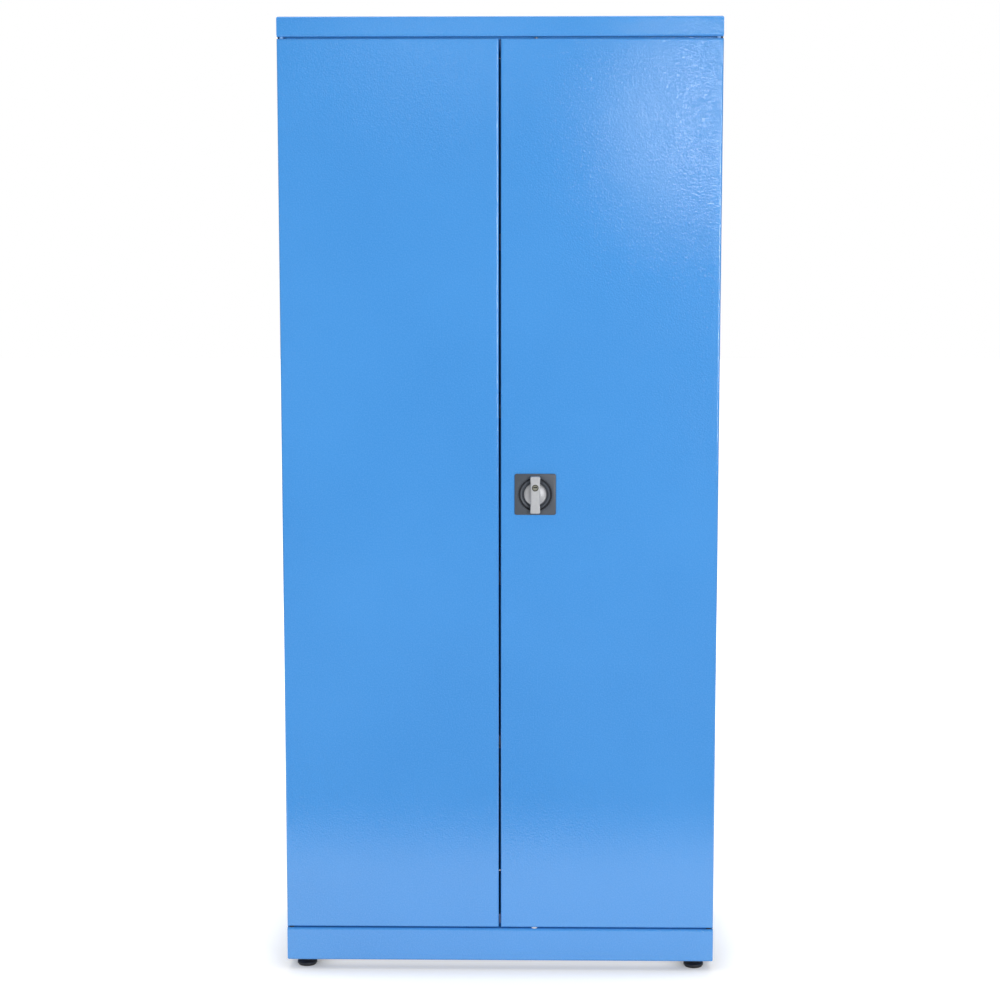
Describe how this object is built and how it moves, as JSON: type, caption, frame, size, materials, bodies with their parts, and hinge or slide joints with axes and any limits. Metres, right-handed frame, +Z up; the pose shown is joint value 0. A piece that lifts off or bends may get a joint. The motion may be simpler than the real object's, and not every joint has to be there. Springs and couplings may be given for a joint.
{
  "type": "tool cabinet with doors",
  "caption": "Tall steel cabinet with two hinged doors over its full width, a rotary three-point lock, lift-out shelves and levelling feet.",
  "frame": {"origin": "on the floor, under the middle of the bounding box (handle included)", "axes": "+Z up, doors face -Y, +X to the right of a person facing the doors"},
  "size_m": [0.9, 0.44, 1.98],
  "materials": {
    "blue_paint": "satin powder coat with fine orange peel",
    "zinc": "galvanised sheet",
    "plain_steel": "zinc plated",
    "black_plastic": "moulded, fine grain",
    "rubber": "matt",
    "magnet_black": "matt",
    "dark_plate": "satin, dark grey",
    "silver_cast": "satin silver casting",
    "nylon": "natural nylon"
  },
  "bodies": {
    "carcass": {"crown": "blue_paint", "base": "blue_paint", "left_side_panel": "blue_paint", "right_side_panel": "blue_paint", "back_panel": "blue_paint", "upper_door_stop": "blue_paint", "lower_door_stop": "blue_paint", "front_left_upright": "zinc", "rear_left_upright": "zinc", "front_right_upright": "zinc", "rear_right_upright": "zinc", "shelf_clips": "plain_steel", "door_bumpers": "rubber", "door_magnets": "magnet_black", "left_pivot_pins": "plain_steel", "right_pivot_pins": "plain_steel", "pivot_washers": "plain_steel", "foot_gussets": "plain_steel", "foot_nuts": "plain_steel"},
    "left_door": {"left_door_skin": "blue_paint", "left_door_rib": "blue_paint", "left_door_bushes": "nylon", "side_strike": "plain_steel"},
    "right_door": {"right_door_skin": "blue_paint", "right_door_rib": "blue_paint", "right_door_bushes": "nylon", "lock_rosette": "dark_plate", "lock_bracket": "plain_steel", "lock_screws": "plain_steel", "rod_guides": "nylon", "rod_bushes": "nylon"},
    "handle": {"handle_grip": "silver_cast", "handle_spindle": "plain_steel", "crank_disc": "plain_steel", "spindle_nut": "plain_steel"},
    "key_cylinder": {"key_plug": "silver_cast"},
    "upper_rod_set": {"upper_rod": "plain_steel", "upper_yoke": "plain_steel"},
    "lower_rod_set": {"lower_rod": "plain_steel", "lower_yoke": "plain_steel"},
    "bolt": {"side_bolt": "plain_steel"},
    "shelf_1_body": {"shelf_1": "zinc"},
    "shelf_2_body": {"shelf_2": "zinc"},
    "shelf_3_body": {"shelf_3": "zinc"},
    "shelf_4_body": {"shelf_4": "zinc"},
    "front_left_foot": {"front_left_foot_pad": "black_plastic", "front_left_foot_stud": "plain_steel"},
    "front_right_foot": {"front_right_foot_pad": "black_plastic", "front_right_foot_stud": "plain_steel"},
    "rear_left_foot": {"rear_left_foot_pad": "black_plastic", "rear_left_foot_stud": "plain_steel"},
    "rear_right_foot": {"rear_right_foot_pad": "black_plastic", "rear_right_foot_stud": "plain_steel"}
  },
  "joints": [
    {"name": "left_door_hinge", "type": "hinge", "parent": "carcass", "child": "left_door", "pos_m": [-0.441, -0.191, 1.0145], "axis": [0, 0, -1], "range_deg": [0, 180]},
    {"name": "right_door_hinge", "type": "hinge", "parent": "carcass", "child": "right_door", "pos_m": [0.441, -0.191, 1.0145], "axis": [0, 0, 1], "range_deg": [0, 180]},
    {"name": "handle_turn", "type": "hinge", "parent": "right_door", "child": "handle", "pos_m": [0.073, -0.2, 1.014], "axis": [0, -1, 0], "range_deg": [0, 90]},
    {"name": "key_turn", "type": "hinge", "parent": "handle", "child": "key_cylinder", "pos_m": [0.073, -0.22, 1.029], "axis": [0, 1, 0], "range_deg": [0, 90]},
    {"name": "upper_rod_slide", "type": "slide", "parent": "right_door", "child": "upper_rod_set", "axis": [0, 0, 1], "range_m": [0, 0.0198]},
    {"name": "lower_rod_slide", "type": "slide", "parent": "right_door", "child": "lower_rod_set", "axis": [0, 0, -1], "range_m": [0, 0.0198]},
    {"name": "side_bolt_slide", "type": "slide", "parent": "right_door", "child": "bolt", "axis": [-1, 0, 0], "range_m": [0, 0.0198]},
    {"name": "shelf_1_lift", "type": "slide", "parent": "carcass", "child": "shelf_1_body", "axis": [0, 0, 1], "range_m": [0, 0.05]},
    {"name": "shelf_2_lift", "type": "slide", "parent": "carcass", "child": "shelf_2_body", "axis": [0, 0, 1], "range_m": [0, 0.05]},
    {"name": "shelf_3_lift", "type": "slide", "parent": "carcass", "child": "shelf_3_body", "axis": [0, 0, 1], "range_m": [0, 0.05]},
    {"name": "shelf_4_lift", "type": "slide", "parent": "carcass", "child": "shelf_4_body", "axis": [0, 0, 1], "range_m": [0, 0.05]},
    {"name": "front_left_foot_screw", "type": "slide", "parent": "carcass", "child": "front_left_foot", "axis": [0, 0, -1], "range_m": [0, 0.025]},
    {"name": "front_right_foot_screw", "type": "slide", "parent": "carcass", "child": "front_right_foot", "axis": [0, 0, -1], "range_m": [0, 0.025]},
    {"name": "rear_left_foot_screw", "type": "slide", "parent": "carcass", "child": "rear_left_foot", "axis": [0, 0, -1], "range_m": [0, 0.025]},
    {"name": "rear_right_foot_screw", "type": "slide", "parent": "carcass", "child": "rear_right_foot", "axis": [0, 0, -1], "range_m": [0, 0.025]}
  ],
  "couplings": [
    {"joint": "upper_rod_slide", "follows": "handle_turn", "m_per_rad": 0.01259},
    {"joint": "lower_rod_slide", "follows": "handle_turn", "m_per_rad": 0.01259},
    {"joint": "side_bolt_slide", "follows": "handle_turn", "m_per_rad": 0.01259}
  ]
}
